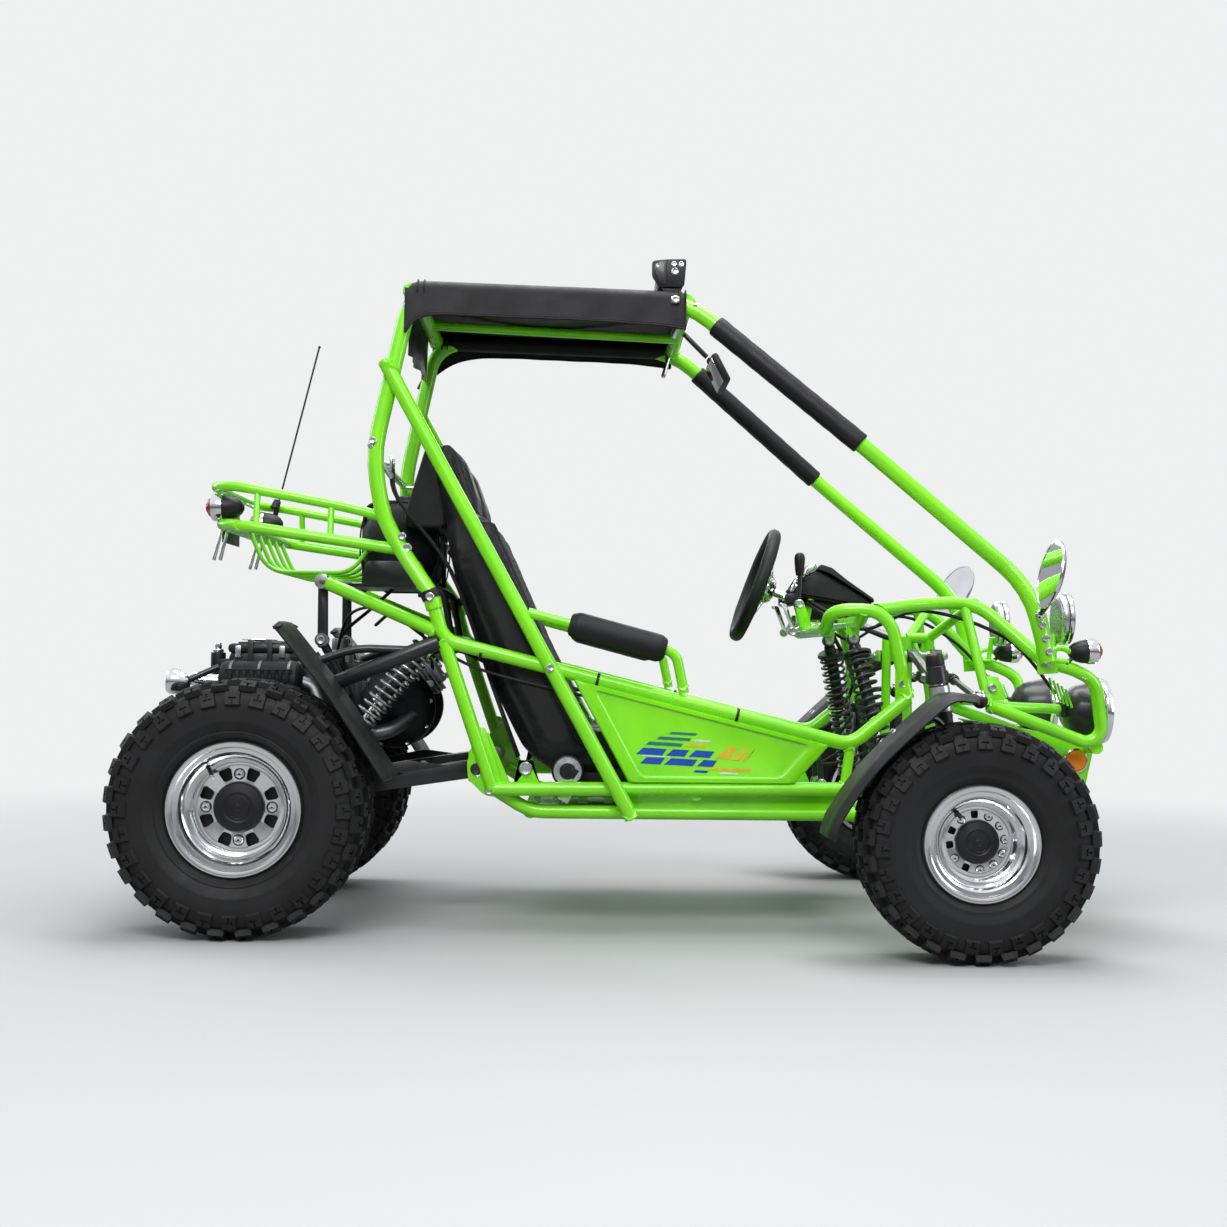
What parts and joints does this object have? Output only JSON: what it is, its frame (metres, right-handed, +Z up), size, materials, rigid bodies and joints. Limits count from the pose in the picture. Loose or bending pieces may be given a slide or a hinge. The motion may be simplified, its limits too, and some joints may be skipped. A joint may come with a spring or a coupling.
{
  "type": "off-road go kart",
  "caption": "Two-seat off-road go kart with a tubular cage, canopy, rear rack, coil-over suspension and knobbly tyres.",
  "frame": {"origin": "middle of the bounding box's footprint, on the ground", "axes": "+X front of the kart, +Y its left side, +Z up"},
  "size_m": [2.1256, 1.446, 1.464],
  "materials": {
    "green_paint": "gloss lime green paint",
    "panel_paint": "gloss lime green paint",
    "canopy_cloth": "black coated cloth",
    "black_metal": "satin black paint",
    "engine_metal": "cast, satin",
    "black_plastic": "moulded, satin",
    "black_rubber": "moulded grip",
    "bright_steel": "bright",
    "axle_steel": "dark",
    "seat_vinyl": "stitched black vinyl",
    "lamp_chrome": "polished",
    "spring_steel": "gloss black",
    "tyre_rubber": "moulded",
    "polished_alloy": "polished"
  },
  "bodies": {
    "chassis": {"main_frame": "green_paint", "front_frame": "green_paint", "roll_cage": "green_paint", "rear_rack": "green_paint", "canopy": "canopy_cloth", "roof_light_bar": "black_metal", "engine": "engine_metal", "dash_pod": "black_plastic", "side_panel_right": "panel_paint", "seat_right": "seat_vinyl", "armrest_pad_right": "seat_vinyl", "headlamp_right": "lamp_chrome", "rear_guard_right": "black_plastic", "side_panel_left": "panel_paint", "seat_left": "seat_vinyl", "armrest_pad_left": "seat_vinyl", "headlamp_left": "lamp_chrome", "rear_guard_left": "black_plastic"},
    "steering_wheel": {"steering_wheel": "black_rubber"},
    "rack": {"steering_rack": "bright_steel"},
    "brake_pedal": {"brake_pedal": "black_metal"},
    "throttle_pedal": {"throttle_pedal": "black_metal"},
    "dash_lever": {"dash_lever": "black_plastic"},
    "inside_mirror": {"inside_mirror": "black_plastic"},
    "swing_arm": {"swing_arm": "black_metal"},
    "rear_wheels": {"rear_axle": "axle_steel", "rear_rim_right": "polished_alloy", "rear_rim_left": "polished_alloy", "rear_tyre_right": "tyre_rubber", "rear_tyre_left": "tyre_rubber"},
    "lower_arm_right": {"lower_arm_right": "green_paint"},
    "upper_arm_right": {"upper_arm_right": "green_paint"},
    "carrier_right": {"kingpin_carrier_right": "bright_steel"},
    "knuckle_right": {"knuckle_right": "axle_steel", "front_guard_right": "black_plastic"},
    "front_wheel_right": {"front_tyre_right": "tyre_rubber", "front_rim_right": "polished_alloy"},
    "tie_rod_right": {"tie_rod_right": "black_metal"},
    "front_damper_right": {"front_shock_body_right": "black_metal", "front_spring_right": "spring_steel"},
    "front_plunger_right": {"front_shock_rod_right": "lamp_chrome"},
    "rear_damper_right": {"rear_shock_body_right": "black_metal", "rear_spring_right": "spring_steel"},
    "rear_plunger_right": {"rear_shock_rod_right": "lamp_chrome"},
    "mirror_right": {"mirror_right": "lamp_chrome"},
    "lower_arm_left": {"lower_arm_left": "green_paint"},
    "upper_arm_left": {"upper_arm_left": "green_paint"},
    "carrier_left": {"kingpin_carrier_left": "bright_steel"},
    "knuckle_left": {"knuckle_left": "axle_steel", "front_guard_left": "black_plastic"},
    "front_wheel_left": {"front_tyre_left": "tyre_rubber", "front_rim_left": "polished_alloy"},
    "tie_rod_left": {"tie_rod_left": "black_metal"},
    "front_damper_left": {"front_shock_body_left": "black_metal", "front_spring_left": "spring_steel"},
    "front_plunger_left": {"front_shock_rod_left": "lamp_chrome"},
    "rear_damper_left": {"rear_shock_body_left": "black_metal", "rear_spring_left": "spring_steel"},
    "rear_plunger_left": {"rear_shock_rod_left": "lamp_chrome"},
    "mirror_left": {"mirror_left": "lamp_chrome"}
  },
  "joints": [
    {"name": "steering", "type": "hinge", "parent": "chassis", "child": "steering_wheel", "pos_m": [0.34123, 0.17, 0.771], "axis": [0.9379, 0, -0.3469], "range_deg": [-150, 150]},
    {"name": "rack_slide", "type": "slide", "parent": "chassis", "child": "rack", "axis": [0, 1, 0], "range_m": [-0.037, 0.037]},
    {"name": "lower_arm_right_swing", "type": "hinge", "parent": "chassis", "child": "lower_arm_right", "pos_m": [0.70023, -0.2, 0.24], "axis": [-1, 0, 0], "range_deg": [-9, 9], "stiffness_Nm_per_rad": 1500, "springref_deg": -5.16},
    {"name": "upper_arm_right_swing", "type": "hinge", "parent": "chassis", "child": "upper_arm_right", "pos_m": [0.68523, -0.2, 0.6], "axis": [-1, 0, 0], "range_deg": [-9, 9]},
    {"name": "carrier_right_pivot", "type": "hinge", "parent": "lower_arm_right", "child": "carrier_right", "pos_m": [0.70657, -0.478, 0.195], "axis": [-1, 0, 0], "range_deg": [-9, 9]},
    {"name": "knuckle_right_turn", "type": "hinge", "parent": "carrier_right", "child": "knuckle_right", "pos_m": [0.70023, -0.512, 0.235], "axis": [-0.1564, 0, 0.9877], "range_deg": [-25, 25]},
    {"name": "front_wheel_right_spin", "type": "hinge", "parent": "knuckle_right", "child": "front_wheel_right", "pos_m": [0.70023, -0.633, 0.235], "axis": [0, 1, 0], "continuous": true},
    {"name": "tie_rod_right_swing", "type": "hinge", "parent": "rack", "child": "tie_rod_right", "pos_m": [0.74616, -0.2, 0.55254], "axis": [-1, 0, 0], "range_deg": [-9, 9]},
    {"name": "front_damper_right_swing", "type": "hinge", "parent": "chassis", "child": "front_damper_right", "pos_m": [0.52623, -0.19, 0.636], "axis": [0.2273, -0.9163, 0.3299], "range_deg": [-1, 1]},
    {"name": "front_plunger_right_slide", "type": "slide", "parent": "front_damper_right", "child": "front_plunger_right", "axis": [0.2054, -0.286, -0.936], "range_m": [-0.018, 0.018], "deforming": ["front_spring_right"]},
    {"name": "rear_damper_right_swing", "type": "hinge", "parent": "chassis", "child": "rear_damper_right", "pos_m": [-0.40877, -0.208, 0.63], "axis": [0, 1, 0], "range_deg": [-4, 4]},
    {"name": "rear_plunger_right_slide", "type": "slide", "parent": "rear_damper_right", "child": "rear_plunger_right", "axis": [-0.647, 0, -0.7625], "range_m": [-0.03, 0.026], "deforming": ["rear_spring_right"]},
    {"name": "mirror_right_swivel", "type": "hinge", "parent": "chassis", "child": "mirror_right", "pos_m": [0.89323, -0.3928, 0.6902], "axis": [0, 0, 1], "range_deg": [-20, 20]},
    {"name": "lower_arm_left_swing", "type": "hinge", "parent": "chassis", "child": "lower_arm_left", "pos_m": [0.70023, 0.2, 0.24], "axis": [1, 0, 0], "range_deg": [-9, 9], "stiffness_Nm_per_rad": 1500, "springref_deg": -5.16},
    {"name": "upper_arm_left_swing", "type": "hinge", "parent": "chassis", "child": "upper_arm_left", "pos_m": [0.68523, 0.2, 0.6], "axis": [1, 0, 0], "range_deg": [-9, 9]},
    {"name": "carrier_left_pivot", "type": "hinge", "parent": "lower_arm_left", "child": "carrier_left", "pos_m": [0.70657, 0.478, 0.195], "axis": [1, 0, 0], "range_deg": [-9, 9]},
    {"name": "knuckle_left_turn", "type": "hinge", "parent": "carrier_left", "child": "knuckle_left", "pos_m": [0.70023, 0.512, 0.235], "axis": [-0.1564, 0, 0.9877], "range_deg": [-25, 25]},
    {"name": "front_wheel_left_spin", "type": "hinge", "parent": "knuckle_left", "child": "front_wheel_left", "pos_m": [0.70023, 0.633, 0.235], "axis": [0, 1, 0], "continuous": true},
    {"name": "tie_rod_left_swing", "type": "hinge", "parent": "rack", "child": "tie_rod_left", "pos_m": [0.74616, 0.2, 0.55254], "axis": [1, 0, 0], "range_deg": [-9, 9]},
    {"name": "front_damper_left_swing", "type": "hinge", "parent": "chassis", "child": "front_damper_left", "pos_m": [0.52623, 0.19, 0.636], "axis": [-0.2273, -0.9163, -0.3299], "range_deg": [-1, 1]},
    {"name": "front_plunger_left_slide", "type": "slide", "parent": "front_damper_left", "child": "front_plunger_left", "axis": [0.2054, 0.286, -0.936], "range_m": [-0.018, 0.018], "deforming": ["front_spring_left"]},
    {"name": "rear_damper_left_swing", "type": "hinge", "parent": "chassis", "child": "rear_damper_left", "pos_m": [-0.40877, 0.208, 0.63], "axis": [0, 1, 0], "range_deg": [-4, 4]},
    {"name": "rear_plunger_left_slide", "type": "slide", "parent": "rear_damper_left", "child": "rear_plunger_left", "axis": [-0.647, 0, -0.7625], "range_m": [-0.03, 0.026], "deforming": ["rear_spring_left"]},
    {"name": "mirror_left_swivel", "type": "hinge", "parent": "chassis", "child": "mirror_left", "pos_m": [0.89323, 0.3928, 0.6902], "axis": [0, 0, 1], "range_deg": [-20, 20]},
    {"name": "swing_arm_pivot", "type": "hinge", "parent": "chassis", "child": "swing_arm", "pos_m": [-0.30077, 0, 0.343], "axis": [0, 1, 0], "range_deg": [-5, 6], "stiffness_Nm_per_rad": 6500, "springref_deg": -6.3},
    {"name": "rear_axle_spin", "type": "hinge", "parent": "swing_arm", "child": "rear_wheels", "pos_m": [-0.79377, 0, 0.269], "axis": [0, 1, 0], "continuous": true},
    {"name": "brake_pedal_press", "type": "hinge", "parent": "chassis", "child": "brake_pedal", "pos_m": [0.49823, 0.196, 0.292], "axis": [0, 1, 0], "range_deg": [0, 20], "stiffness_Nm_per_rad": 4, "springref_deg": -14.32},
    {"name": "throttle_pedal_press", "type": "hinge", "parent": "chassis", "child": "throttle_pedal", "pos_m": [0.49823, 0.104, 0.292], "axis": [0, 1, 0], "range_deg": [0, 20], "stiffness_Nm_per_rad": 4, "springref_deg": -14.32},
    {"name": "dash_lever_turn", "type": "hinge", "parent": "chassis", "child": "dash_lever", "pos_m": [0.43523, 0.062, 0.722], "axis": [0, 1, 0], "range_deg": [-15, 15]},
    {"name": "inside_mirror_swivel", "type": "hinge", "parent": "chassis", "child": "inside_mirror", "pos_m": [0.21523, 0, 1.2925], "axis": [0, 0, 1], "range_deg": [-15, 15]}
  ],
  "couplings": [
    {"joint": "rack_slide", "follows": "steering", "m_per_rad": -0.01398},
    {"joint": "upper_arm_right_swing", "follows": "lower_arm_right_swing", "ratio": 1},
    {"joint": "carrier_right_pivot", "follows": "lower_arm_right_swing", "ratio": -1},
    {"joint": "knuckle_right_turn", "follows": "steering", "ratio": -0.16667},
    {"joint": "tie_rod_right_swing", "follows": "lower_arm_right_swing", "ratio": 1},
    {"joint": "front_damper_right_swing", "follows": "lower_arm_right_swing", "ratio": 0.058283},
    {"joint": "front_plunger_right_slide", "follows": "lower_arm_right_swing", "m_per_rad": -0.10389},
    {"joint": "rear_damper_right_swing", "follows": "swing_arm_pivot", "ratio": 0.56971},
    {"joint": "rear_plunger_right_slide", "follows": "swing_arm_pivot", "m_per_rad": -0.26803},
    {"joint": "upper_arm_left_swing", "follows": "lower_arm_left_swing", "ratio": 1},
    {"joint": "carrier_left_pivot", "follows": "lower_arm_left_swing", "ratio": -1},
    {"joint": "knuckle_left_turn", "follows": "steering", "ratio": -0.16667},
    {"joint": "tie_rod_left_swing", "follows": "lower_arm_left_swing", "ratio": 1},
    {"joint": "front_damper_left_swing", "follows": "lower_arm_left_swing", "ratio": 0.058283},
    {"joint": "front_plunger_left_slide", "follows": "lower_arm_left_swing", "m_per_rad": -0.10389},
    {"joint": "rear_damper_left_swing", "follows": "swing_arm_pivot", "ratio": 0.56971},
    {"joint": "rear_plunger_left_slide", "follows": "swing_arm_pivot", "m_per_rad": -0.26803}
  ]
}
